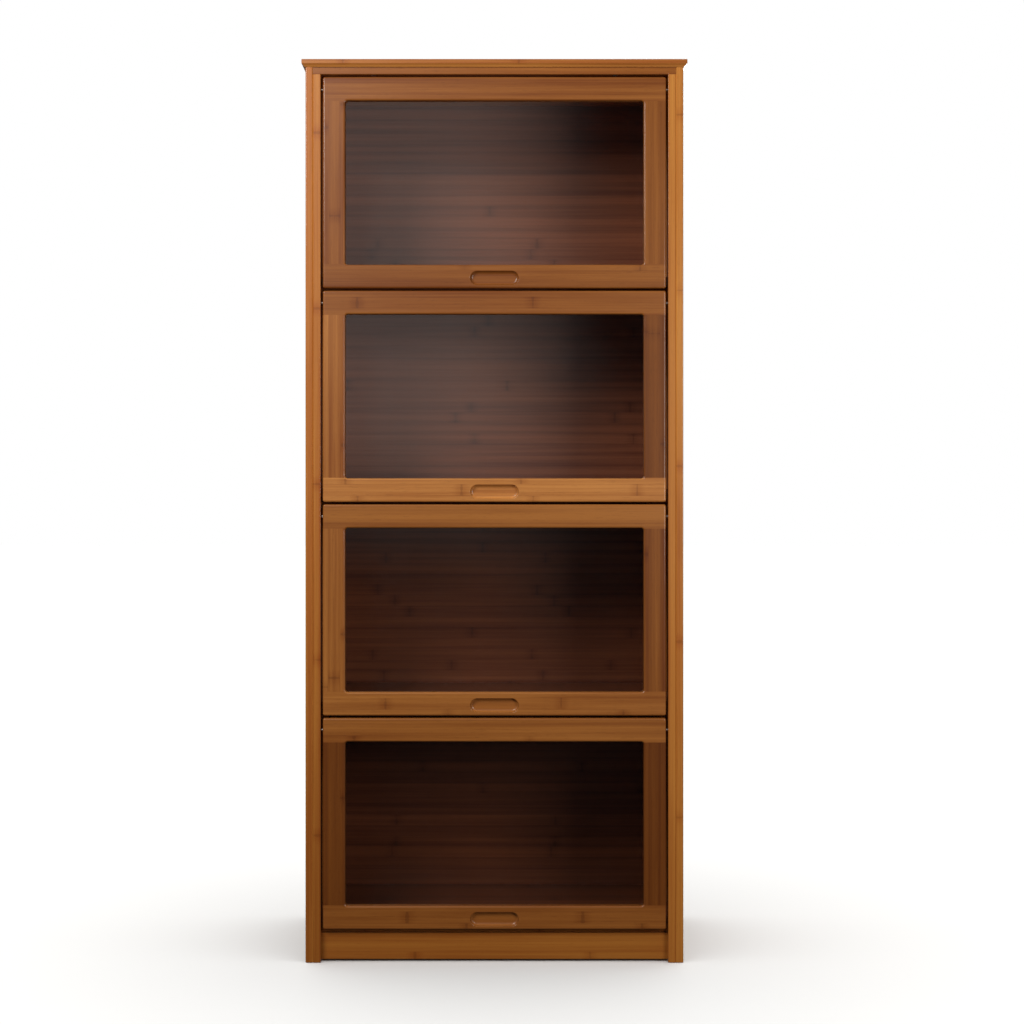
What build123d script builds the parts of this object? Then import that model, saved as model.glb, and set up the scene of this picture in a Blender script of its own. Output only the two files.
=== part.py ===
from build123d import *
import os

# Four-tier barrister bookcase in laminated bamboo.  Millimetres, +Z up, the front faces -Y.
# The origin is on the floor, in the middle of the top board's width and depth.
# Each tier has a framed acrylic door that hangs on two steel pins near its top corners.  The
# pins run in straight grooves, so the door lifts to level and slides in over its compartment.

# ---------------------------------------------------------------- driving dimensions: case
TIERS = 4
TOTAL_H = 1490.0
CASE_W = 624.0              # across the two side panels
CASE_D = 330.0              # front faces of the posts to the back of the case
TOP_T = 12.0
TOP_OVERHANG = 6.0          # at the front and at each side
TOP_UNDERCUT = 5.0          # chamfer under the overhang
TOP_EDGE_R = 1.5
SIDE_T = 12.0
POST_T = 13.0
POST_D = 30.0
V_GROOVE = 1.5              # chamfers that meet in the joint between panel and post
EDGE_R = 2.0                # outer corners of the case
EASE = 1.0                  # broken edges that a hand can reach
TOP_RAIL_H = 12.0
RAIL_T = 18.0
TOP_RAIL_SETBACK = 1.0      # front face behind the posts' front faces
BASE_RAIL_Z = 2.5
BASE_TOP_Z = 46.0
BASE_RAIL_SETBACK = 12.0
SHELF_T = 15.0
SHELF_FRONT_GAP = 2.0       # behind a closed door
SHELF_RISE = 6.0            # underside above the bottom edge of the door in front of it
BACK_T = 5.0
BACK_INSET = 13.0           # back face of the back panels to the back of the case
SHELF_BACK_INSET = 1.0      # back edge of the shelves to the back of the case
PANEL_GROOVE = 4.0
POST_PANEL_GROOVE = 5.0
PANEL_PLAY = 0.5

# --------------------------------------------------------------- driving dimensions: doors
DOOR_GAP = 4.0              # above each door
BASE_GAP = 8.0              # under the lowest door
DOOR_SIDE_GAP = 3.5
DOOR_T = 16.0
DOOR_SETBACK = 1.0
RAIL_W = 39.0
STILE_W = 37.0
DOOR_CORNER_R = 3.5
OPENING_CORNER_R = 4.5
DOOR_FRONT_R = 3.0
DOOR_BACK_R = 1.0
JOINT_INSET = 1.0           # the routed opening cuts this far into the two rails
TENON_W = 22.0
TENON_T = 6.0
TENON_L = 12.0
PANE_T = 3.0
PANE_SLOT_T = 3.2
PANE_SLOT_D = 5.2
PANE_EDGE = 4.7
PULL_W = 80.0
PULL_H = 23.0
PULL_D = 7.0
PULL_FLOOR_R = 5.0
PULL_RIM_R = 0.8
PULL_RISE = 17.0            # centre of the finger pull above the door's bottom edge

# ------------------------------------------------------------ driving dimensions: hardware
PIN_D = 5.0
PIN_DROP = 20.0             # pin axis below the door's top edge
PIN_IN_DOOR = 15.0
PIN_PROUD = 10.5            # length that stands out of the door's edge
PIN_BORE_D = 5.1
PIN_BEVEL = 0.5
PIN_TRAVEL = 279.0
GROOVE_W = 5.4
GROOVE_D = 8.0
SLIDE_BELOW_PIN = 15.0
BLOCK_W = 10.0              # hold-down blocks over the inner corners of an open door
BLOCK_FRONT_Y = 139.0
BLOCK_BACK_Y = 149.5
BLOCK_LIFT = 9.0            # underside above the pin axis
BUMPER_D = 7.0
BUMPER_T = 1.8
BUMPER_RIM_R = 0.5
BUMPER_X = 240.0
BUMPER_DROP = 5.0           # centre below the shelf's top face
SIDE_SCREW_L = 45.0
TOP_SCREW_L = 19.0
SCREW_D = 5.0
SCREW_HEAD_D = 10.0
SCREW_HEAD_H = 3.0
SCREW_TIP = 3.0
SCREW_HEX = 4.0
SCREW_HEX_D = 2.4
SHELF_SCREW_Y = (-95.0, 105.0)
TOP_SCREW_X = 200.0

# ---------------------------------------------------------------------------- derived values
TOP_W = CASE_W + 2 * TOP_OVERHANG
TOP_D = CASE_D + TOP_OVERHANG
BACK_Y = TOP_D / 2
FRONT_Y = BACK_Y - CASE_D
TOP_Z = TOTAL_H - TOP_T                     # underside of the top board
TOP_RAIL_Z = TOP_Z - TOP_RAIL_H
SIDE_OUT_X = CASE_W / 2
SIDE_IN_X = SIDE_OUT_X - SIDE_T
POST_IN_X = SIDE_IN_X - POST_T
FRONT_POST_Y = FRONT_Y + POST_D             # back of the front posts
REAR_POST_Y = BACK_Y - POST_D               # front of the rear posts
BACK_OUT_Y = BACK_Y - BACK_INSET
BACK_IN_Y = BACK_OUT_Y - BACK_T

DOOR_W = 2 * (POST_IN_X - DOOR_SIDE_GAP)
DOOR_PITCH = (TOP_RAIL_Z - BASE_TOP_Z - BASE_GAP) / TIERS
DOOR_H = DOOR_PITCH - DOOR_GAP
DOOR_FRONT_Y = FRONT_Y + DOOR_SETBACK
DOOR_BACK_Y = DOOR_FRONT_Y + DOOR_T
OPENING_W = DOOR_W - 2 * STILE_W
OPENING_H = DOOR_H - 2 * RAIL_W
PIN_Y = DOOR_FRONT_Y + DOOR_T / 2
SHELF_FRONT_Y = DOOR_BACK_Y + SHELF_FRONT_GAP
SHELF_BACK_Y = BACK_Y - SHELF_BACK_INSET
TOP_RAIL_Y = FRONT_Y + TOP_RAIL_SETBACK + RAIL_T / 2
BASE_FRONT_Y = FRONT_Y + BASE_RAIL_SETBACK + RAIL_T / 2
BASE_REAR_Y = SHELF_BACK_Y - RAIL_T / 2
TOP_REAR_Y = (BACK_OUT_Y + SHELF_BACK_Y) / 2

DOOR_TOPS = [TOP_RAIL_Z - DOOR_GAP - i * DOOR_PITCH for i in range(TIERS)]
PIN_ZS = [top - PIN_DROP for top in DOOR_TOPS]
SHELF_ZS = [top - DOOR_H + SHELF_RISE for top in DOOR_TOPS[:-1]] + [BASE_TOP_Z]     # undersides
CEILING_ZS = [TOP_Z] + SHELF_ZS[:-1]        # what closes each tier at the top

# Places of the screws that go in through the side panels, as (y, z).
SHELF_SCREWS = [(y, z + SHELF_T / 2) for z in SHELF_ZS for y in SHELF_SCREW_Y]
TOP_FRONT_SCREW = (TOP_RAIL_Y, TOP_RAIL_Z + TOP_RAIL_H / 2)
TOP_REAR_SCREW = (TOP_REAR_Y, TOP_RAIL_Z + TOP_RAIL_H / 2)
BASE_FRONT_SCREW = (BASE_FRONT_Y, (BASE_RAIL_Z + BASE_TOP_Z) / 2)
BASE_REAR_SCREW = (BASE_REAR_Y, (BASE_RAIL_Z + BASE_TOP_Z) / 2)
RAIL_SCREWS = [TOP_FRONT_SCREW, TOP_REAR_SCREW, BASE_FRONT_SCREW, BASE_REAR_SCREW]

SIDES = {"left": -1, "right": 1}
SELECT_TOL = 0.1            # how near a face has to be to the place that it is picked by


def save(builder, name):
    """Label a finished sub-part and write its STEP file."""
    builder.part.label = name
    export_step(builder.part, f"parts/{name}.step")


def slab(x_range, y_range, z_range):
    """Sketch and extrude a board into the part being built."""
    with BuildSketch(Plane.XY.offset(z_range[0])) as outline:
        with Locations((sum(x_range) / 2, sum(y_range) / 2)):
            Rectangle(abs(x_range[1] - x_range[0]), y_range[1] - y_range[0])
    extrude(outline.sketch, amount=z_range[1] - z_range[0])


def screw_body(length):
    """Countersunk screw along Z: its head face is at z = 0 and its point at z = -length."""
    with BuildPart() as body:
        with BuildSketch(Plane.XZ):
            with BuildLine():
                Polyline(
                    (0, 0),
                    (SCREW_HEAD_D / 2, 0),
                    (SCREW_D / 2, -SCREW_HEAD_H),
                    (SCREW_D / 2, SCREW_TIP - length),
                    (0, -length),
                    close=True,
                )
            make_face()
        revolve(axis=Axis.Z)
    return body.part


def socket_screw(envelope):
    """The same screw with a hexagon socket in its head."""
    with BuildPart() as screw:
        add(envelope)
        with BuildSketch(Plane.XY):
            RegularPolygon(SCREW_HEX / 2, 6, major_radius=False)
        extrude(amount=-SCREW_HEX_D, mode=Mode.SUBTRACT)
    return screw.part


side_screw_body = screw_body(SIDE_SCREW_L)
side_screw = socket_screw(side_screw_body)
top_screw_body = screw_body(TOP_SCREW_L)
top_screw = socket_screw(top_screw_body)


def side_screw_places(side, places):
    """Locations for screws driven inwards from one side panel's outer face."""
    return [
        Plane(origin=(side * SIDE_OUT_X, y, z), x_dir=(0, 1, 0), z_dir=(side, 0, 0)).location
        for y, z in places
    ]


def bore_side_screws(side, places):
    """Cut the screws' own shape, head and all, out of the part being built."""
    with Locations(*side_screw_places(side, places)):
        add(side_screw_body, mode=Mode.SUBTRACT)


def top_screw_places(y):
    """Locations for screws driven upwards through a top rail."""
    return [
        Plane(origin=(x, y, TOP_RAIL_Z), x_dir=(1, 0, 0), z_dir=(0, 0, -1)).location
        for x in (-TOP_SCREW_X, TOP_SCREW_X)
    ]


def bore_top_screws(*ys):
    """Cut the top screws' shape out of the part being built."""
    for y in ys:
        with Locations(*top_screw_places(y)):
            add(top_screw_body, mode=Mode.SUBTRACT)


def cut_pin_groove(side, pin_z):
    """Cut one pin's straight groove, with its rounded stops, into the part being built."""
    inner_face = Plane(origin=(side * POST_IN_X, 0, pin_z), x_dir=(0, 1, 0), z_dir=(side, 0, 0))
    with BuildSketch(inner_face) as groove:
        with Locations((PIN_Y + PIN_TRAVEL / 2, 0)):
            SlotCenterToCenter(PIN_TRAVEL, GROOVE_W)
    extrude(groove.sketch, amount=GROOVE_D, mode=Mode.SUBTRACT)


os.makedirs("parts", exist_ok=True)

# -------------------------------------------------------------------------------- top board
with BuildPart() as top_board:
    slab((-TOP_W / 2, TOP_W / 2), (-TOP_D / 2, TOP_D / 2), (TOP_Z, TOTAL_H))
    underside = top_board.faces().sort_by(Axis.Z)[0].edges()
    chamfer(underside.sort_by(Axis.Y)[:-1], length=TOP_UNDERCUT)
    fillet(top_board.faces().sort_by(Axis.Z)[-1].edges(), radius=TOP_EDGE_R)
    with BuildSketch(Plane.XY.offset(TOP_Z)):
        with Locations((0, BACK_OUT_Y - BACK_T / 2)):
            Rectangle(2 * (POST_IN_X + POST_PANEL_GROOVE), BACK_T)
    extrude(amount=PANEL_GROOVE, mode=Mode.SUBTRACT)
    bore_top_screws(TOP_RAIL_Y, TOP_REAR_Y)
save(top_board, "top_board")

# --------------------------------------------------------------------- side panels and posts
for name, side in SIDES.items():
    with BuildPart() as side_panel:
        slab((side * SIDE_IN_X, side * SIDE_OUT_X), (FRONT_Y, BACK_Y), (0, TOP_Z))
        uprights = side_panel.edges().filter_by(Axis.Z)
        outer_uprights = uprights.group_by(Axis.X)[-1 if side > 0 else 0]
        inner_uprights = uprights.group_by(Axis.X)[0 if side > 0 else -1]
        fillet(outer_uprights, radius=EDGE_R)
        chamfer(inner_uprights.sort_by(Axis.Y)[0], length=V_GROOVE)
        bore_side_screws(side, SHELF_SCREWS + RAIL_SCREWS)
    save(side_panel, f"side_panel_{name}")

    with BuildPart() as front_post:
        slab((side * POST_IN_X, side * SIDE_IN_X), (FRONT_Y, FRONT_POST_Y), (0, TOP_RAIL_Z))
        front_uprights = front_post.edges().filter_by(Axis.Z).group_by(Axis.Y)[0]
        chamfer(front_uprights.sort_by(Axis.X)[-1 if side > 0 else 0], length=V_GROOVE)
        inner_uprights = front_post.edges().filter_by(Axis.Z).group_by(Axis.X)[0 if side > 0 else -1]
        fillet(inner_uprights.sort_by(Axis.Y)[0], radius=EASE)
        for pin_z in PIN_ZS:
            cut_pin_groove(side, pin_z)
        bore_side_screws(side, [BASE_FRONT_SCREW])
    save(front_post, f"front_post_{name}")

    with BuildPart() as rear_post:
        slab((side * POST_IN_X, side * SIDE_IN_X), (REAR_POST_Y, BACK_Y), (0, TOP_Z))
        with BuildSketch(Plane.XY):
            with Locations((side * (POST_IN_X + POST_PANEL_GROOVE / 2), BACK_OUT_Y - BACK_T / 2)):
                Rectangle(POST_PANEL_GROOVE, BACK_T)
        extrude(amount=TOP_Z, mode=Mode.SUBTRACT)
        bore_side_screws(side, [TOP_REAR_SCREW, BASE_REAR_SCREW])
    save(rear_post, f"rear_post_{name}")

# -------------------------------------------------------------------- rails across the case
with BuildPart() as top_front_rail:
    rail_y = (TOP_RAIL_Y - RAIL_T / 2, TOP_RAIL_Y + RAIL_T / 2)
    slab((-SIDE_IN_X, SIDE_IN_X), rail_y, (TOP_RAIL_Z, TOP_Z))
    lower_edges = top_front_rail.edges().filter_by(Axis.X).group_by(Axis.Z)[0]
    fillet(lower_edges.sort_by(Axis.Y)[0], radius=EASE)
    bore_top_screws(TOP_RAIL_Y)
    for side in SIDES.values():
        bore_side_screws(side, [TOP_FRONT_SCREW])
save(top_front_rail, "top_front_rail")

with BuildPart() as top_rear_rail:
    slab((-POST_IN_X, POST_IN_X), (BACK_OUT_Y, SHELF_BACK_Y), (TOP_RAIL_Z, TOP_Z))
    bore_top_screws(TOP_REAR_Y)
    for side in SIDES.values():
        bore_side_screws(side, [TOP_REAR_SCREW])
save(top_rear_rail, "top_rear_rail")

for name, rail_mid_y, screw in (
    ("base_front_rail", BASE_FRONT_Y, BASE_FRONT_SCREW),
    ("base_rear_rail", BASE_REAR_Y, BASE_REAR_SCREW),
):
    with BuildPart() as base_rail:
        rail_y = (rail_mid_y - RAIL_T / 2, rail_mid_y + RAIL_T / 2)
        slab((-POST_IN_X, POST_IN_X), rail_y, (BASE_RAIL_Z, BASE_TOP_Z))
        fillet(base_rail.edges().filter_by(Axis.X).group_by(Axis.Z)[0], radius=EASE)
        for side in SIDES.values():
            bore_side_screws(side, [screw])
    save(base_rail, name)

# ------------------------------------------------- rails along each side, between the posts
for name, side in SIDES.items():
    side_rail_x = (side * POST_IN_X, side * SIDE_IN_X)

    with BuildPart() as base_side_rail:
        slab(side_rail_x, (FRONT_POST_Y, REAR_POST_Y), (BASE_RAIL_Z, BASE_TOP_Z))
    save(base_side_rail, f"base_side_rail_{name}")

    for tier, (pin_z, ceiling_z) in enumerate(zip(PIN_ZS, CEILING_ZS), start=1):
        with BuildPart() as slide_rail:
            slab(side_rail_x, (FRONT_POST_Y, REAR_POST_Y), (pin_z - SLIDE_BELOW_PIN, ceiling_z))
            lower_edges = slide_rail.edges().filter_by(Axis.Y).group_by(Axis.Z)[0]
            fillet(lower_edges.sort_by(Axis.X)[0 if side > 0 else -1], radius=EASE)
            cut_pin_groove(side, pin_z)
        save(slide_rail, f"slide_rail_{tier}_{name}")

    with BuildPart() as hold_down_blocks:
        block_x = (side * (POST_IN_X - BLOCK_W), side * POST_IN_X)
        for pin_z, ceiling_z in zip(PIN_ZS, CEILING_ZS):
            slab(block_x, (BLOCK_FRONT_Y, BLOCK_BACK_Y), (pin_z + BLOCK_LIFT, ceiling_z))
    save(hold_down_blocks, f"hold_down_blocks_{name}")

# ---------------------------------------------------------------------------------- shelves
for tier, shelf_z in enumerate(SHELF_ZS, start=1):
    with BuildPart() as shelf:
        slab((-SIDE_IN_X, SIDE_IN_X), (FRONT_POST_Y, REAR_POST_Y), (shelf_z, shelf_z + SHELF_T))
        slab((-POST_IN_X, POST_IN_X), (SHELF_FRONT_Y, SHELF_BACK_Y), (shelf_z, shelf_z + SHELF_T))
        front_edges = shelf.edges().filter_by(Axis.X).group_by(Axis.Y)[0]
        fillet(front_edges, radius=EASE)
        groove_floors = [shelf_z + SHELF_T - PANEL_GROOVE]
        if tier < TIERS:
            groove_floors.append(shelf_z)
        for floor_z in groove_floors:
            with BuildSketch(Plane.XY.offset(floor_z)):
                with Locations((0, BACK_OUT_Y - BACK_T / 2)):
                    Rectangle(2 * POST_IN_X, BACK_T)
            extrude(amount=PANEL_GROOVE, mode=Mode.SUBTRACT)
        tier_screws = [(y, shelf_z + SHELF_T / 2) for y in SHELF_SCREW_Y]
        for side in SIDES.values():
            bore_side_screws(side, tier_screws)
    save(shelf, f"shelf_{tier}" if tier < TIERS else "bottom_shelf")

# ------------------------------------------------------------------------------ back panels
for tier, (shelf_z, ceiling_z) in enumerate(zip(SHELF_ZS, CEILING_ZS), start=1):
    with BuildPart() as back_panel:
        panel_x = POST_IN_X + POST_PANEL_GROOVE - PANEL_PLAY
        panel_low = shelf_z + SHELF_T - PANEL_GROOVE
        panel_high = ceiling_z + PANEL_GROOVE - PANEL_PLAY
        slab((-panel_x, panel_x), (BACK_IN_Y, BACK_OUT_Y), (panel_low, panel_high))
    save(back_panel, f"back_panel_{tier}")

# ------------------------------------------------------------------------------------ doors
for tier, door_top in enumerate(DOOR_TOPS, start=1):
    pin_z = door_top - PIN_DROP
    mid_z = door_top - DOOR_H / 2
    low_joint = Plane.XY.offset(mid_z - OPENING_H / 2 + JOINT_INSET)
    high_joint = Plane.XY.offset(mid_z + OPENING_H / 2 - JOINT_INSET)
    front_face = Plane(origin=(0, DOOR_FRONT_Y, mid_z), x_dir=(1, 0, 0), z_dir=(0, -1, 0))

    # The frame is shaped whole, as it is when the glued frame goes past the router.
    with BuildPart() as frame:
        with BuildSketch(front_face):
            RectangleRounded(DOOR_W, DOOR_H, DOOR_CORNER_R)
            RectangleRounded(OPENING_W, OPENING_H, OPENING_CORNER_R, mode=Mode.SUBTRACT)
        extrude(amount=-DOOR_T)
        fillet(frame.faces().sort_by(Axis.Y)[0].edges(), radius=DOOR_FRONT_R)
        fillet(frame.faces().sort_by(Axis.Y)[-1].edges(), radius=DOOR_BACK_R)
        with Locations((0, PIN_Y, mid_z)):
            Box(
                OPENING_W + 2 * PANE_SLOT_D,
                PANE_SLOT_T,
                OPENING_H + 2 * PANE_SLOT_D,
                mode=Mode.SUBTRACT,
            )

    tenon_x = DOOR_W / 2 - STILE_W / 2
    high_tenons = [(x, PIN_Y, high_joint.origin.Z + TENON_L / 2) for x in (-tenon_x, tenon_x)]
    low_tenons = [(x, PIN_Y, low_joint.origin.Z - TENON_L / 2) for x in (-tenon_x, tenon_x)]

    with BuildPart() as door_top_rail:
        add(frame.part)
        split(bisect_by=high_joint, keep=Keep.TOP)
        with Locations(*high_tenons):
            Box(TENON_W, TENON_T, TENON_L, mode=Mode.SUBTRACT)
        for side in SIDES.values():
            with Locations((side * (DOOR_W / 2 - PIN_IN_DOOR / 2), PIN_Y, pin_z)):
                Cylinder(PIN_BORE_D / 2, PIN_IN_DOOR, rotation=(0, 90, 0), mode=Mode.SUBTRACT)
    save(door_top_rail, f"door_{tier}_top_rail")

    with BuildPart() as door_bottom_rail:
        add(frame.part)
        split(bisect_by=low_joint, keep=Keep.BOTTOM)
        with Locations(*low_tenons):
            Box(TENON_W, TENON_T, TENON_L, mode=Mode.SUBTRACT)
        with BuildSketch(front_face.offset(-PULL_D)):
            with Locations((0, PULL_RISE - DOOR_H / 2)):
                SlotOverall(PULL_W, PULL_H)
        extrude(amount=PULL_D, mode=Mode.SUBTRACT)
        pull_floor_y = (DOOR_FRONT_Y + PULL_D - SELECT_TOL, DOOR_FRONT_Y + PULL_D + SELECT_TOL)
        pull_floor = door_bottom_rail.faces().filter_by_position(Axis.Y, *pull_floor_y)
        fillet(pull_floor.edges(), radius=PULL_FLOOR_R)
        pull_rim = door_bottom_rail.faces().sort_by(Axis.Y)[0].inner_wires()
        fillet(pull_rim.edges(), radius=PULL_RIM_R)
    save(door_bottom_rail, f"door_{tier}_bottom_rail")

    for name, side in SIDES.items():
        with BuildPart() as door_stile:
            add(frame.part)
            split(bisect_by=high_joint, keep=Keep.BOTTOM)
            split(bisect_by=low_joint, keep=Keep.TOP)
            split(bisect_by=Plane.YZ, keep=Keep.TOP if side > 0 else Keep.BOTTOM)
            with Locations(*[place for place in high_tenons + low_tenons if place[0] * side > 0]):
                Box(TENON_W, TENON_T, TENON_L)
        save(door_stile, f"door_{tier}_{name}_stile")

    with BuildPart() as door_pane:
        with Locations((0, PIN_Y, mid_z)):
            Box(OPENING_W + 2 * PANE_EDGE, PANE_T, OPENING_H + 2 * PANE_EDGE)
    save(door_pane, f"door_{tier}_pane")

    with BuildPart() as door_pins:
        for side in SIDES.values():
            with Locations((side * (DOOR_W / 2 + (PIN_PROUD - PIN_IN_DOOR) / 2), PIN_Y, pin_z)):
                Cylinder(PIN_D / 2, PIN_IN_DOOR + PIN_PROUD, rotation=(0, 90, 0))
        chamfer(door_pins.edges().filter_by(GeomType.CIRCLE), length=PIN_BEVEL)
    save(door_pins, f"door_{tier}_pins")

# --------------------------------------------------------------------- bumpers and fasteners
with BuildPart() as bumpers:
    for shelf_z in SHELF_ZS:
        for side in SIDES.values():
            bumper_z = shelf_z + SHELF_T - BUMPER_DROP
            with BuildSketch(Plane(origin=(side * BUMPER_X, SHELF_FRONT_Y, bumper_z), z_dir=(0, -1, 0))):
                Circle(BUMPER_D / 2)
    extrude(amount=BUMPER_T)
    outer_rims = bumpers.edges().filter_by(GeomType.CIRCLE).group_by(Axis.Y)[0]
    fillet(outer_rims, radius=BUMPER_RIM_R)
save(bumpers, "bumpers")

for name, side in SIDES.items():
    with BuildPart() as side_screws:
        with Locations(*side_screw_places(side, SHELF_SCREWS + RAIL_SCREWS)):
            add(side_screw)
    save(side_screws, f"side_screws_{name}")

with BuildPart() as top_screws:
    with Locations(*top_screw_places(TOP_RAIL_Y), *top_screw_places(TOP_REAR_Y)):
        add(top_screw)
save(top_screws, "top_screws")
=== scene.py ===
import math

import bmesh
import bpy
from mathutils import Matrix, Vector


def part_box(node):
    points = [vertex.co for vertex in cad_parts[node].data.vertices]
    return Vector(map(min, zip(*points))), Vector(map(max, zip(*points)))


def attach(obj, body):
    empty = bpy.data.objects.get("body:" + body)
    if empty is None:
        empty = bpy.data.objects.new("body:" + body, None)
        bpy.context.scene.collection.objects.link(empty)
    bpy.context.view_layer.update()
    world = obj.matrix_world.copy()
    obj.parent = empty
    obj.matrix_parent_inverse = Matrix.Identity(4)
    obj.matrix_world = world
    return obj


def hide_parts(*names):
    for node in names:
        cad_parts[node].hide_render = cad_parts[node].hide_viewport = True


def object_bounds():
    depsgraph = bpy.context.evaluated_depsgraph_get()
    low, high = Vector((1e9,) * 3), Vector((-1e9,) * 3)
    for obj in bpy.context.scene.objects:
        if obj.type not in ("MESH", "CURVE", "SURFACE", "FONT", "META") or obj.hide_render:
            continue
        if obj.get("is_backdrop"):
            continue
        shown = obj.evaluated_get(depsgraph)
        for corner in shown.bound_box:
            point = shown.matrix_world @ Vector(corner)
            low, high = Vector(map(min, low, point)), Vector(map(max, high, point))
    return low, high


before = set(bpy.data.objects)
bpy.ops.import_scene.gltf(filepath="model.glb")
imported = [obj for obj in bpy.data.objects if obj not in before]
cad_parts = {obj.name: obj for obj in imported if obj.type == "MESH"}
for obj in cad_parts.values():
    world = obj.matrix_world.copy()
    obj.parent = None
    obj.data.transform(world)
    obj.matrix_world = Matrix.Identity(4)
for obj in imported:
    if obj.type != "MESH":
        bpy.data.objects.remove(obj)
cad_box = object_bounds()

# Looks for a four-tier barrister bookcase in laminated bamboo. Metres, +Z up, the front faces -Y.
# Tier 1 is the top one.  A board's grain runs along one axis and its strips lie side by side
# across another, so each board's material is made for its own pair of axes.

TIERS = (1, 2, 3, 4)
SIDES = ("left", "right")

# ------------------------------------------------------------------------------------- camera
CAMERA_DISTANCE = 3.0           # to the front of the case
CAMERA_HEIGHT = 0.79
SENSOR = 36.0
VIEW_SIZE = 1.690               # width and height of the view at the front of the case
VIEW_CENTRE = (0.029, 0.7435)   # where the middle of the view meets the front of the case


def make_camera():
    """A level camera, square on to the front."""
    front_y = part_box("front_post_left")[0].y
    data = bpy.data.cameras.new("camera")
    data.sensor_width = SENSOR
    data.lens = SENSOR * CAMERA_DISTANCE / VIEW_SIZE
    data.shift_x = VIEW_CENTRE[0] / VIEW_SIZE
    data.shift_y = (VIEW_CENTRE[1] - CAMERA_HEIGHT) / VIEW_SIZE
    camera = bpy.data.objects.new("camera", data)
    camera.location = (0.0, front_y - CAMERA_DISTANCE, CAMERA_HEIGHT)
    camera.rotation_euler = (math.radians(90), 0, 0)
    bpy.context.scene.collection.objects.link(camera)
    bpy.context.scene.camera = camera


# ----------------------------------------------------------------------------- node tree tools
class Tree:
    """Short calls for writing a node tree."""

    def __init__(self, tree):
        self.tree = tree
        tree.nodes.clear()

    def node(self, kind, inputs=None, **settings):
        """A node with these settings. Its inputs, by name or place, take values or sockets."""
        made = self.tree.nodes.new(kind)
        for name, value in settings.items():
            setattr(made, name, value)
        for key, value in (inputs or {}).items():
            self.put(made.inputs[key], value)
        return made

    def put(self, socket, value):
        """Link a socket to another, or set its value."""
        if isinstance(value, bpy.types.NodeSocket):
            self.tree.links.new(value, socket)
        else:
            socket.default_value = value

    def math(self, operation, *values):
        """The result of one Math node."""
        return self.node("ShaderNodeMath", dict(enumerate(values)), operation=operation).outputs[0]

    def ramp(self, value, low, high, start=0.0, end=1.0):
        """value taken smoothly from start at low to end at high."""
        made = self.node("ShaderNodeMapRange", interpolation_type="SMOOTHSTEP")
        for key, number in enumerate((value, low, high, start, end)):
            self.put(made.inputs[key], number)
        return made.outputs[0]

    def mix(self, factor, first, second, blend="MIX"):
        """A mix of two colours."""
        made = self.node("ShaderNodeMix", data_type="RGBA", blend_type=blend)
        self.put(made.inputs["Factor"], factor)
        self.put(made.inputs["A"], first)
        self.put(made.inputs["B"], second)
        return made.outputs["Result"]

    def vector(self, x, y, z):
        """A vector from three numbers or sockets."""
        return self.node("ShaderNodeCombineXYZ", {0: x, 1: y, 2: z}).outputs[0]

    def noise(self, vector, scale=1.0, detail=2.0):
        """Noise from 0 to 1."""
        made = self.node("ShaderNodeTexNoise", {"Vector": vector, "Scale": scale, "Detail": detail})
        return made.outputs["Fac"]

    def bump(self, height, strength, distance):
        """A normal bent by a height."""
        inputs = {"Height": height, "Strength": strength, "Distance": distance}
        return self.node("ShaderNodeBump", inputs).outputs[0]

    def surface(self, shader):
        """Give the material this surface."""
        self.node("ShaderNodeOutputMaterial", {"Surface": shader.outputs[0]})

    def principled(self, inputs):
        """Give the material a Principled surface."""
        self.surface(self.node("ShaderNodeBsdfPrincipled", inputs))


def new_material(name):
    """A material with a cleared tree, and the tree's tools."""
    material = bpy.data.materials.new(name)
    material.use_nodes = True
    return material, Tree(material.node_tree)


def linear(red, green, blue):
    """A colour given in the usual 0 to 255 display values, as the shader's linear values."""

    def channel(value):
        value /= 255
        return value / 12.92 if value <= 0.04045 else ((value + 0.055) / 1.055) ** 2.4

    return (channel(red), channel(green), channel(blue), 1.0)


def shaded(colour, factor):
    """A colour made lighter or darker, by a board's own shade and by painted light and shade. The
    darker it is made, the redder.
    """
    return tuple(channel * factor**power for channel, power in zip(colour, DARKENING_POWERS)) + (1.0,)


# ------------------------------------------------------------------------------------- bamboo
# light and dark are the ends of a board's colour range, and line is its glue lines and flecks.
TONES = {
    tone: {"light": linear(*light), "dark": linear(*dark), "line": linear(*line)}
    for tone, light, dark, line in (
        ("case", (211, 141, 62), (163, 85, 29), (98, 44, 14)),
        ("side", (207, 139, 60), (167, 93, 33), (98, 46, 14)),
        # top is darker than the case: partly the top boards' own tone, and on the top front rail
        # painted shadow under the top board's overhang.
        ("top", (196, 126, 56), (146, 78, 26), (86, 40, 13)),
        ("door", (170, 106, 46), (122, 63, 20), (70, 30, 12)),
        # back is darker than the case: painted shade of the dim inside of the case, on its back
        # panels and shelves.
        ("back", (134, 75, 46), (86, 41, 24), (44, 20, 12)),
    )
}
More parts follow.
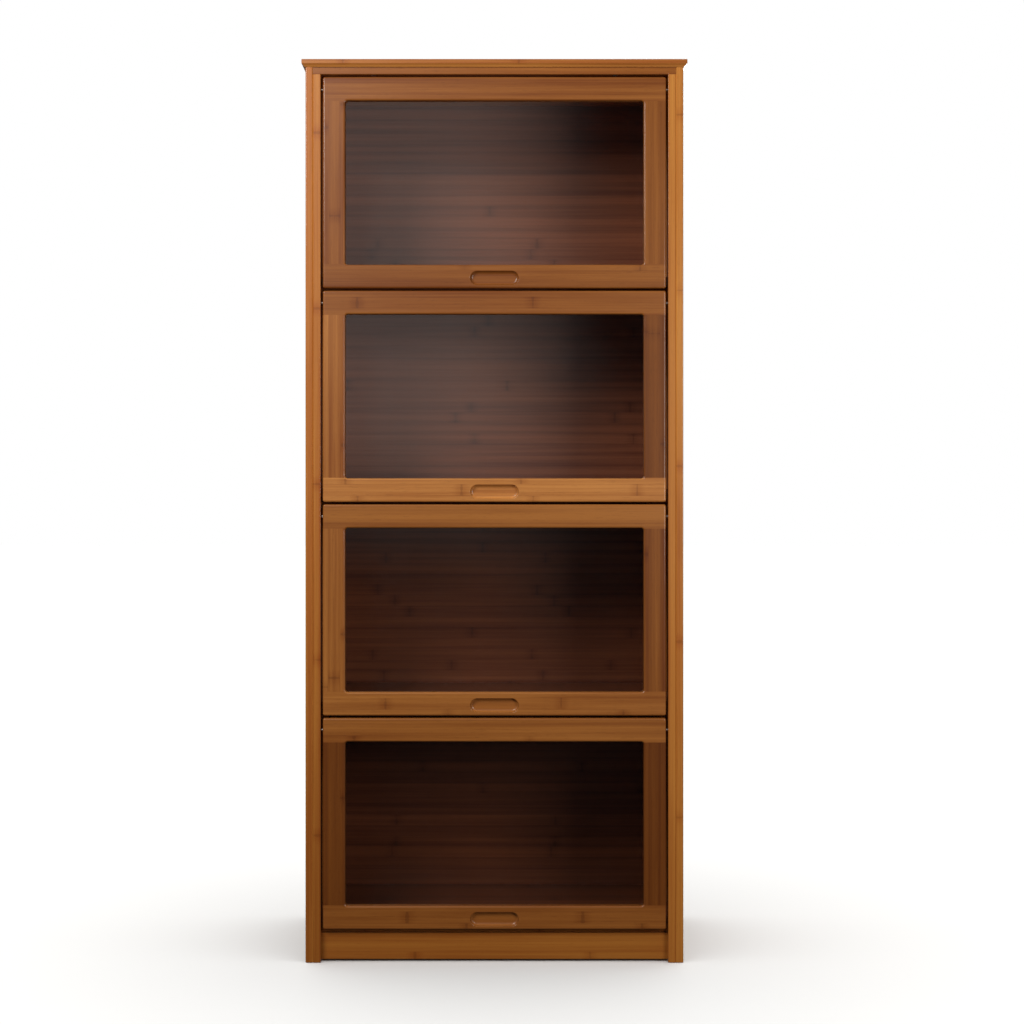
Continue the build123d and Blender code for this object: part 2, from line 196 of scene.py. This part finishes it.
# How much lighter or darker than its tone a board is, partly its own shade and partly painted light
# and shade. The others are 1.
# Painted highlight: door 2's and door 3's left stiles and door 2's bottom rail.
# Painted shade: the right stiles, door 4's stiles and the shelves.
# Painted shadow: top_front_rail under the top board's overhang, base_front_rail under the doors.
# The back panels are lighter in the upper tiers and darker in the lowest, for the light inside the
# case.
BOARD_SHADES_AND_PAINTED_LIGHT = {
    "top_board": 1.25,
    "top_front_rail": 0.66,
    "base_front_rail": 0.74,
    "side_panel_left": 1.20,
    "side_panel_right": 1.13,
    "door_1_right_stile": 0.82,
    "door_1_bottom_rail": 0.9,
    "door_2_left_stile": 1.3,
    "door_2_right_stile": 0.55,
    "door_2_bottom_rail": 1.7,
    "door_3_left_stile": 1.15,
    "door_3_right_stile": 0.81,
    "door_3_bottom_rail": 1.2,
    "door_4_top_rail": 1.05,
    "door_4_left_stile": 0.56,
    "door_4_right_stile": 0.52,
    "back_panel_1": 1.3,
    "back_panel_2": 1.4,
    "back_panel_4": 0.85,
    "shelf_1": 0.7,
    "shelf_2": 0.7,
    "shelf_3": 0.7,
    "bottom_shelf": 0.7,
}
DARKENING_POWERS = (1.0, 1.3, 1.8)  # how fast red, green and blue fall as a board is made darker, also by painted shade
# The tone of the band on each shelf's front and back edges, which the per-board shades and painted
# shade leave alone.
BANDING = {"shelf_1": "door", "shelf_2": "door", "shelf_3": "door", "bottom_shelf": "case"}
# Painted shade, darker lower down where less light falls: how light a standing board is at its
# foot, as a share of its lightness at the head, and over what share of its height it fades.
PAINTED_FALLOFF = {
    "front_post_left": 0.69,
    "side_panel_left": 0.68,
    "front_post_right": 0.90,
    "side_panel_right": 0.90,
}
PAINTED_FALLOFF_SHARE = 0.6
STRIP_WIDTH = 0.0195            # the boards are made of strips this wide, laid out from the middle
STRIP_WANDER = 0.004            # how far a strip's edge strays from straight
NODE_SPACING = 0.29             # from one node of the culm to the next, along a strip
NODE_SHARE = 0.4                # the share of strips whose nodes show on the face
NODE_RIPPLE = 0.03              # how far a node's line strays, as a share of the spacing
NODE_STAGGER = 7.0              # how many spacings a strip's nodes may be moved along it
PAINTED_EDGE_SHADE_WIDTH = 0.012              # painted shade darkens a board within this of its long edges
AXES = "XYZ"
SEED_STEPS = (3.7, 0.73, 1.91)  # how far each board's grain is moved from the last one's
STRIP_SEED_STEP = 17.0          # how many strips are skipped in the draw of shades for each board
# Streaks in the grain: how many a metre across it and along it, and how much fine detail.
STREAKS = {
    "fibre": (900.0, 9.0, 3.0),
    "vein": (260.0, 2.6, 2.0),
    "band": (85.0, 1.5, 2.0),
    "cloud": (9.0, 2.3, 2.0),
    "fleck": (1500.0, 60.0, 1.0),
}
# What a measure becomes, softly: two of its values, and what they turn into if not 0 and 1.
RAMPS = {
    "fleck": (0.62, 0.74),              # of the noise of that name
    "end_grain": (0.75, 0.95),          # of how squarely a face looks along the grain
    "banded": (0.6, 0.8),               # of how squarely a face looks to the front or the back
    "seam": (0.0, 0.35, 1.0, 0.0),      # of the distance from a strip's edge, in strips
    "glue": (0.0, 0.02, 1.0, 0.0),
    "knot": (0.002, 0.010, 1.0, 0.0),   # of the distance from a node, in spacings
    "patch": (0.008, 0.06, 1.0, 0.0),
    "round": (0.80, 0.985, 1.0, 0.0),   # of how squarely a face looks along any axis
    "rubbed": (0.35, 0.65, 0.10, 0.40),  # of the cloud noise
}
# A board's colour runs from dark at 0 to light at 1. It starts from MIDDLE, VARIES moves it
# either way, and DARKENS only takes it down.
MIDDLE = 0.60
VARIES = {"strip": 0.34, "fibre": 0.55, "vein": 0.70, "band": 1.00, "cloud": 0.90}
# In DARKENS, the darkening along a board's long edges is painted shade.
DARKENS = {"seam": -0.14, "patch": -0.20, "painted_edge_shade": -0.24, "end_grain": -0.35}
# How far each kind of mark covers the board's colour with its line colour.
MARKS = {"fleck": 0.26, "knot": 0.30, "glue": 0.20}
# The lacquer is smoothest at ROUGHNESS, and rougher where these signals are strong.
ROUGHNESS = 0.26
ROUGHENS = {"fibre": 0.14, "cloud": 0.08, "end_grain": 0.12}
RAISES = {"knot": -0.5, "fibre": 0.5, "glue": -0.4}     # as shares of BUMP_HEIGHT
BUMP_HEIGHT = 0.0004
BUMP_STRENGTH = 0.2
COAT_WEIGHT = 0.5
COAT_ROUGHNESS = 0.17
SPECULAR_LEVEL = 0.25


class Board:
    """One board's own coordinates in its material, and the signals that make up its looks."""

    def __init__(self, tree, node, along, across, seed):
        self.tree = tree
        self.node = node
        self.seed = seed
        low, high = (corner[AXES.index(across)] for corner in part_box(node))
        self.half_width = (high - low) / 2
        deep = next(axis for axis in AXES if axis not in (along, across))
        coordinates = tree.node("ShaderNodeTexCoord")
        self.place = tree.node("ShaderNodeSeparateXYZ", {0: coordinates.outputs["Object"]}).outputs
        normal = tree.node("ShaderNodeSeparateXYZ", {0: coordinates.outputs["Normal"]}).outputs
        self.facing = {axis: tree.math("ABSOLUTE", normal[axis]) for axis in AXES}
        self.side = tree.math("SUBTRACT", self.place[across], (low + high) / 2)
        starts = (self.side, self.place[deep], self.place[along])
        self.grain = [tree.math("ADD", way, step * seed) for way, step in zip(starts, SEED_STEPS)]
        self.signals = {name: self.streaks(*scales) for name, scales in STREAKS.items()}
        self.signals["fleck"] = self.ramp("fleck", self.signals["fleck"])
        self.signals["end_grain"] = self.ramp("end_grain", self.facing[along])
        self.add_strips()
        self.add_painted_edge_shade()

    def streaks(self, across_scale, along_scale, detail):
        """Noise drawn out along the grain."""
        scales = (across_scale, across_scale, along_scale)
        ways = [self.tree.math("MULTIPLY", way, scale) for way, scale in zip(self.grain, scales)]
        return self.tree.noise(self.tree.vector(*ways), detail=detail)

    def ramp(self, name, measure):
        """A measure taken through the ramp of this name."""
        return self.tree.ramp(measure, *RAMPS[name])

    def total(self, start, weights):
        """start, and each of these signals times its weight."""
        for name, weight in weights.items():
            start = self.tree.math("MULTIPLY_ADD", self.signals[name], weight, start)
        return start

    def strayed(self, signal, size):
        """A signal as a shift, up to half of size each way."""
        centred = self.tree.math("SUBTRACT", self.signals[signal], 0.5)
        return self.tree.math("MULTIPLY", centred, size)

    def add_strips(self):
        """Strips side by side, each with a shade of its own, darker towards its glue lines."""
        tree = self.tree
        wandering = tree.math("ADD", self.side, self.strayed("cloud", STRIP_WANDER))
        strip_u = tree.math("ADD", tree.math("DIVIDE", wandering, STRIP_WIDTH), 0.5)
        number = tree.math("ADD", tree.math("FLOOR", strip_u), STRIP_SEED_STEP * self.seed)
        shade = tree.node("ShaderNodeTexWhiteNoise", {"W": number}, noise_dimensions="1D")
        random = tree.node("ShaderNodeSeparateColor", {0: shade.outputs["Color"]})
        strip, offset, chance = random.outputs
        from_seam = tree.math("PINGPONG", strip_u, 0.5)
        self.signals["strip"] = strip
        self.signals["seam"] = self.ramp("seam", from_seam)
        self.signals["glue"] = self.ramp("glue", from_seam)
        self.add_nodes(offset, chance)

    def add_nodes(self, offset, chance):
        """Nodes of the culm: a fine dark line across a strip, in a soft darker patch."""
        tree = self.tree
        node_w = tree.math("DIVIDE", self.grain[2], NODE_SPACING)
        node_w = tree.math("ADD", node_w, tree.math("MULTIPLY", offset, NODE_STAGGER))
        ripple = self.strayed("band", NODE_RIPPLE)
        away = tree.math("ADD", tree.math("PINGPONG", node_w, 0.5), ripple)
        shows = tree.math("LESS_THAN", chance, NODE_SHARE)
        for name in ("knot", "patch"):
            self.signals[name] = tree.math("MULTIPLY", self.ramp(name, away), shows)

    def add_painted_edge_shade(self):
        """Painted shade along the board's long edges, darkest at the edge."""
        tree = self.tree
        from_edge = tree.math("SUBTRACT", self.half_width, tree.math("ABSOLUTE", self.side))
        width = min(PAINTED_EDGE_SHADE_WIDTH, 0.5 * self.half_width)
        self.signals["painted_edge_shade"] = tree.ramp(from_edge, 0.0, width, 1.0, 0.0)

    def value(self):
        """How light the board is at each point, from 0 to 1, with painted shade along its long
        edges.
        """
        tree, value = self.tree, MIDDLE
        for name, weight in VARIES.items():
            centred = tree.math("SUBTRACT", self.signals[name], 0.5)
            value = tree.math("MULTIPLY_ADD", centred, weight, value)
        value = self.total(value, DARKENS)
        return tree.math("MINIMUM", tree.math("MAXIMUM", value, 0.0), 1.0)

    def marks(self):
        """How far flecks, knots and glue lines cover the board's colour."""
        cover = 0.0
        for name, weight in MARKS.items():
            mark = self.tree.math("MULTIPLY", self.signals[name], weight)
            cover = self.tree.math("MAXIMUM", cover, mark)
        return cover

    def worn(self):
        """How far the finish is rubbed away. Rounds and chamfers wear, and the flats don't."""
        tree, facing = self.tree, self.facing
        flat = tree.math("MAXIMUM", tree.math("MAXIMUM", facing["X"], facing["Y"]), facing["Z"])
        rubbed = self.ramp("rubbed", self.signals["cloud"])
        return tree.math("MULTIPLY", self.ramp("round", flat), rubbed)

    def colour(self, tone):
        """The board's colour, with its banding, its painted shade towards the foot, its marks and
        its worn edges.
        """
        tree = self.tree
        # A board's own shade, with painted light and shade on some boards
        shade = BOARD_SHADES_AND_PAINTED_LIGHT.get(self.node, 1.0)
        dark, light, line = (shaded(TONES[tone][end], shade) for end in ("dark", "light", "line"))
        value = self.value()
        colour = tree.mix(value, dark, light)
        if self.node in BANDING:
            band_tone = TONES[BANDING[self.node]]
            banding = tree.mix(value, band_tone["dark"], band_tone["light"])
            colour = tree.mix(self.ramp("banded", self.facing["Y"]), colour, banding)
        # Painted shade: darker towards the foot, where the light falls off
        if self.node in PAINTED_FALLOFF:
            foot, head = (corner.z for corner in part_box(self.node))
            painted_falloff = tree.ramp(self.place["Z"], foot, foot + PAINTED_FALLOFF_SHARE * (head - foot), 1.0, 0.0)
            painted_falloff_tint = shaded((1.0, 1.0, 1.0), PAINTED_FALLOFF[self.node])
            colour = tree.mix(painted_falloff, colour, painted_falloff_tint, blend="MULTIPLY")
        colour = tree.mix(self.marks(), colour, line)
        return tree.mix(self.worn(), colour, light)

    def roughness(self):
        """Satin lacquer, rougher along the fibres and on the end grain."""
        return self.total(ROUGHNESS, ROUGHENS)

    def bump(self):
        """Fine fibres, with the knots and glue lines a little sunk."""
        return self.tree.bump(self.total(0.0, RAISES), BUMP_STRENGTH, BUMP_HEIGHT)


def bamboo(node, tone, along, across, seed):
    """Laminated bamboo under satin lacquer, for one board of the CAD model. Its grain runs along
    one axis, and its strips lie side by side across another."""
    material, tree = new_material(f"bamboo_{node}")
    board = Board(tree, node, along, across, seed)
    tree.principled(
        {
            "Base Color": board.colour(tone),
            "Roughness": board.roughness(),
            "Normal": board.bump(),
            "Coat Weight": COAT_WEIGHT,
            "Coat Roughness": COAT_ROUGHNESS,
            "Specular IOR Level": SPECULAR_LEVEL,
        }
    )
    return material


# ------------------------------------------------------------------------------ other materials
def steel():
    """Turned steel with fine scratches and a faint warm tarnish."""
    material, tree = new_material("steel")
    place = tree.node("ShaderNodeTexCoord").outputs["Object"]
    stretched = tree.node("ShaderNodeMapping", {"Vector": place, "Scale": (60.0, 2400.0, 2400.0)})
    scratch = tree.noise(stretched.outputs[0], detail=3.0)
    tarnish = tree.noise(place, scale=380.0)
    tree.principled(
        {
            "Base Color": tree.mix(tarnish, linear(214, 206, 198), linear(176, 168, 162)),
            "Metallic": 1.0,
            "Roughness": tree.math("MULTIPLY_ADD", scratch, 0.22, 0.20),
            "Normal": tree.bump(scratch, 0.15, 0.0001),
        }
    )
    return material


def rubber():
    """Cloudy soft rubber of the bumper dots."""
    material, tree = new_material("rubber")
    place = tree.node("ShaderNodeTexCoord").outputs["Object"]
    cloud = tree.noise(place, scale=420.0, detail=3.0)
    tree.principled(
        {
            "Base Color": tree.mix(cloud, linear(212, 210, 204), linear(188, 186, 180)),
            "Roughness": tree.math("MULTIPLY_ADD", cloud, 0.2, 0.5),
            "Subsurface Weight": 0.2,
            "Subsurface Scale": 0.001,
            "Normal": tree.bump(cloud, 0.1, 0.0002),
        }
    )
    return material


def acrylic():
    """Clear acrylic sheet. Light from lamps goes straight through it, to the shelves behind."""
    material, tree = new_material("acrylic")
    place = tree.node("ShaderNodeTexCoord").outputs["Object"]
    swell = tree.noise(place, scale=9.0)
    sheet = tree.node(
        "ShaderNodeBsdfPrincipled",
        {
            "Base Color": (0.97, 0.985, 0.98, 1.0),
            "Roughness": 0.0,
            "IOR": 1.49,
            "Transmission Weight": 1.0,
            "Normal": tree.bump(swell, 0.1, 0.0005),
        },
    )
    clear = tree.node("ShaderNodeBsdfTransparent", {"Color": (0.92, 0.93, 0.93, 1.0)})
    to_lamp = tree.node("ShaderNodeLightPath").outputs["Is Shadow Ray"]
    shaders = {0: to_lamp, 1: sheet.outputs[0], 2: clear.outputs[0]}
    tree.surface(tree.node("ShaderNodeMixShader", shaders))
    return material


# ---------------------------------------------------------------- materials of the CAD's nodes
# Each board: its tone, its grain's axis and the axis that its strips lie across.
BOARDS = {
    "top_board": ("top", "X", "Y"),
    "top_front_rail": ("top", "X", "Z"),
    "top_rear_rail": ("case", "X", "Z"),
    "base_front_rail": ("case", "X", "Z"),
    "base_rear_rail": ("case", "X", "Z"),
    "bottom_shelf": ("back", "X", "Y"),
}
for side in SIDES:
    BOARDS[f"side_panel_{side}"] = ("side", "Z", "Y")
    BOARDS[f"front_post_{side}"] = ("case", "Z", "X")
    BOARDS[f"rear_post_{side}"] = ("case", "Z", "X")
    BOARDS[f"base_side_rail_{side}"] = ("case", "Y", "Z")
    BOARDS[f"hold_down_blocks_{side}"] = ("case", "Y", "X")
for tier in TIERS:
    BOARDS[f"back_panel_{tier}"] = ("back", "X", "Z")
    BOARDS[f"door_{tier}_top_rail"] = ("door", "X", "Z")
    BOARDS[f"door_{tier}_bottom_rail"] = ("door", "X", "Z")
    for side in SIDES:
        BOARDS[f"slide_rail_{tier}_{side}"] = ("case", "Y", "Z")
        BOARDS[f"door_{tier}_{side}_stile"] = ("door", "Z", "X")
for tier in TIERS[:-1]:
    BOARDS[f"shelf_{tier}"] = ("back", "X", "Y")


def dress(node, material):
    """Give a CAD node's object one material."""
    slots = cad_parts[node].material_slots
    if len(slots) == 0:
        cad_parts[node].data.materials.append(material)
    for slot in slots:
        slot.material = material


def dress_cad_nodes():
    """Materials for every node that the CAD model carries over."""
    for seed, (node, (tone, along, across)) in enumerate(sorted(BOARDS.items()), start=1):
        dress(node, bamboo(node, tone, along, across, seed))
    metal = steel()
    for node in ["side_screws_left", "side_screws_right", "top_screws"]:
        dress(node, metal)
    for tier in TIERS:
        dress(f"door_{tier}_pins", metal)
    dress("bumpers", rubber())


# -------------------------------------------------------------------------------------- panes
PANE_CELLS = (48, 28)           # faces across a sheet and up it
PANE_WAVE = 0.00012             # how far a sheet's faces wander from flat
PANE_INSET = 1.4 * PANE_WAVE    # keeps the waves inside the CAD model's sheet
PANE_SHARP = math.radians(40)


def pane_wave(x, z, side, tier):
    """How far a sheet's face is from flat at a point. Each face of each sheet has its own waves."""
    bend = math.sin(9.1 * x + 2.3 * tier + side) * math.cos(6.7 * z - 1.7 * tier)
    return PANE_WAVE * (bend + 0.35 * math.sin(23.0 * (x + z) + tier))


def pane_face(mesh, low, high, side, y, tier):
    """The corners of one wavy face of a sheet, in columns from the left."""
    across, up = PANE_CELLS
    columns = []
    for i in range(across + 1):
        x = low.x + (high.x - low.x) * i / across
        heights = [low.z + (high.z - low.z) * j / up for j in range(up + 1)]
        columns.append([mesh.verts.new((x, y + pane_wave(x, z, side, tier), z)) for z in heights])
    return columns


def pane_mesh(tier):
    """A thin sheet with two wavy faces and a sharp rim, as large as the CAD model's."""
    low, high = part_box(f"door_{tier}_pane")
    mesh = bmesh.new()
    across, up = PANE_CELLS
    front = pane_face(mesh, low, high, -1, low.y + PANE_INSET, tier)
    back = pane_face(mesh, low, high, 1, high.y - PANE_INSET, tier)
    for face in (front, back):
        for i in range(across):
            for j in range(up):
                mesh.faces.new((face[i][j], face[i + 1][j], face[i + 1][j + 1], face[i][j + 1]))
    for i in range(across):
        for j in (0, up):
            mesh.faces.new((front[i][j], back[i][j], back[i + 1][j], front[i + 1][j]))
    for j in range(up):
        for i in (0, across):
            mesh.faces.new((front[i][j], back[i][j], back[i][j + 1], front[i][j + 1]))
    bmesh.ops.recalc_face_normals(mesh, faces=mesh.faces)
    for face in mesh.faces:
        face.smooth = True
    for edge in mesh.edges:
        edge.smooth = edge.calc_face_angle(0.0) < PANE_SHARP
    data = bpy.data.meshes.new(f"pane_{tier}")
    mesh.to_mesh(data)
    mesh.free()
    return data


def make_pane(tier, material):
    """A door's acrylic sheet, whose faces have the faint waves that bend its reflections."""
    data = pane_mesh(tier)
    data.materials.append(material)
    pane = bpy.data.objects.new(f"pane_{tier}", data)
    bpy.context.scene.collection.objects.link(pane)
    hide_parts(f"door_{tier}_pane")
    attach(pane, f"door_{tier}")
    return pane


# -------------------------------------------------------------------------- floor, world, lamps
FLOOR_SIZE = 40.0
FLOOR_CELLS = 8
FLOOR_DROP = 0.0006             # keeps the floor from lying in the same plane as the feet
FLOOR_COLOUR = (0.86, 0.86, 0.85, 1.0)
FLOOR_SUN = 3.3
FLOOR_SUN_ANGLE = math.radians(60)
ROOM_COLOUR = (1.0, 0.99, 0.97, 1.0)
# Where the light in the room changes with the direction, as two places and the strength at each.
ROOM_HEIGHTS = (-0.5, 0.9, 0.05, 0.22)      # along Z: brighter upwards
ROOM_DEPTHS = (-0.97, -0.6, 0.15, 1.0)      # along Y: dim straight behind the camera
ROOM_GLOW = 0.47
# The glow's soft edges: an axis, two places along it and the strength at each.
GLOW_EDGES = (
    ("X", -0.6, -0.2, 0.0, 1.0),
    ("X", -0.03, 0.07, 1.0, 0.0),
    ("Z", -0.06, 0.05, 0.0, 1.0),
    ("Z", 0.35, 0.8, 1.0, 0.0),
    ("Y", -0.4, -0.1, 1.0, 0.0),
)
LAMP_COLOUR = (1.0, 0.99, 0.97)
# Each soft box: its place, the point that it faces, its width and its power.
LAMPS = {
    "key": ((-1.15, -1.75, 2.0), (0.0, -0.1, 1.3), 1.0, 34.0),
    "fill": ((1.15, -1.75, 1.0), (0.0, -0.1, 1.1), 0.8, 15.0),
    "back": ((1.2, 2.8, 2.4), (0.0, 0.1, 0.8), 1.6, 60.0),
}


def make_floor():
    """A plain pale floor. It throws no light back up on to the object."""
    mesh = bmesh.new()
    cells = {"x_segments": FLOOR_CELLS, "y_segments": FLOOR_CELLS}
    bmesh.ops.create_grid(mesh, size=FLOOR_SIZE / 2, **cells)
    data = bpy.data.meshes.new("floor")
    mesh.to_mesh(data)
    mesh.free()
    floor = bpy.data.objects.new("floor", data)
    floor.location.z = -FLOOR_DROP
    bpy.context.scene.collection.objects.link(floor)
    material, tree = new_material("floor")
    tree.surface(tree.node("ShaderNodeBsdfDiffuse", {"Color": FLOOR_COLOUR}))
    data.materials.append(material)
    floor.visible_diffuse = False
    floor.visible_glossy = False
    floor.visible_transmission = False
    floor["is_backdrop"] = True
    return floor


def make_floor_sun(floor):
    """Soft light from straight above, for the floor alone."""
    lit = bpy.data.collections.new("floor_light_receivers")
    lit.objects.link(floor)
    sun = bpy.data.objects.new("floor_light", bpy.data.lights.new("floor_light", "SUN"))
    sun.data.energy = FLOOR_SUN
    sun.data.angle = FLOOR_SUN_ANGLE
    sun.light_linking.receiver_collection = lit
    bpy.context.scene.collection.objects.link(sun)


def make_world():
    """White behind the object, and a dim soft room around it with a glow at the camera's left."""
    world = bpy.data.worlds.new("studio")
    world.use_nodes = True
    bpy.context.scene.world = world
    tree = Tree(world.node_tree)
    direction = tree.node("ShaderNodeTexCoord").outputs["Generated"]
    way = tree.node("ShaderNodeSeparateXYZ", {0: direction}).outputs
    glow = 1.0
    for axis, *edge in GLOW_EDGES:
        glow = tree.math("MULTIPLY", glow, tree.ramp(way[axis], *edge))
    upwards, backwards = tree.ramp(way["Z"], *ROOM_HEIGHTS), tree.ramp(way["Y"], *ROOM_DEPTHS)
    room = tree.math("MULTIPLY_ADD", glow, ROOM_GLOW, tree.math("MULTIPLY", upwards, backwards))
    soft = tree.node("ShaderNodeBackground", {"Color": ROOM_COLOUR, "Strength": room})
    white = tree.node("ShaderNodeBackground", {"Color": (1.0, 1.0, 1.0, 1.0), "Strength": 1.0})
    seen = tree.node("ShaderNodeLightPath").outputs["Is Camera Ray"]
    both = tree.node("ShaderNodeMixShader", {0: seen, 1: soft.outputs[0], 2: white.outputs[0]})
    tree.node("ShaderNodeOutputWorld", {"Surface": both.outputs[0]})


def make_lamp(name, place, target, size, power, receivers):
    """A square soft box that faces target, and isn't seen itself."""
    lamp = bpy.data.objects.new(name, bpy.data.lights.new(name, "AREA"))
    lamp.data.shape = "SQUARE"
    lamp.data.size = size
    lamp.data.energy = power
    lamp.data.color = LAMP_COLOUR
    lamp.location = place
    lamp.rotation_euler = (Vector(target) - Vector(place)).to_track_quat("-Z", "Y").to_euler()
    lamp.visible_camera = False
    lamp.light_linking.receiver_collection = receivers
    bpy.context.scene.collection.objects.link(lamp)


def make_lamps(passed_by):
    """A key from the upper left, a fill from the right and one for the back. They don't light the
    floor, which has a lamp of its own, or the panes, which would mirror them as white squares."""
    receivers = bpy.data.collections.new("lamp_receivers")
    for number, unlit in enumerate(passed_by):
        receivers.objects.link(unlit)
        receivers.collection_objects[number].light_linking.link_state = "EXCLUDE"
    for name, (place, target, size, power) in LAMPS.items():
        make_lamp(name, place, target, size, power, receivers)


# ------------------------------------------------------------------------------ the whole scene
bpy.context.scene.view_settings.view_transform = "Standard"
bpy.context.scene.view_settings.look = "None"

make_camera()
studio_floor = make_floor()
make_floor_sun(studio_floor)
make_world()
dress_cad_nodes()
clear_sheet = acrylic()
panes = [make_pane(tier, clear_sheet) for tier in TIERS]
make_lamps([studio_floor] + panes)

boxes = {"cad": cad_box, "visual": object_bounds()}
{name: [list(corner) for corner in box] for name, box in boxes.items()}
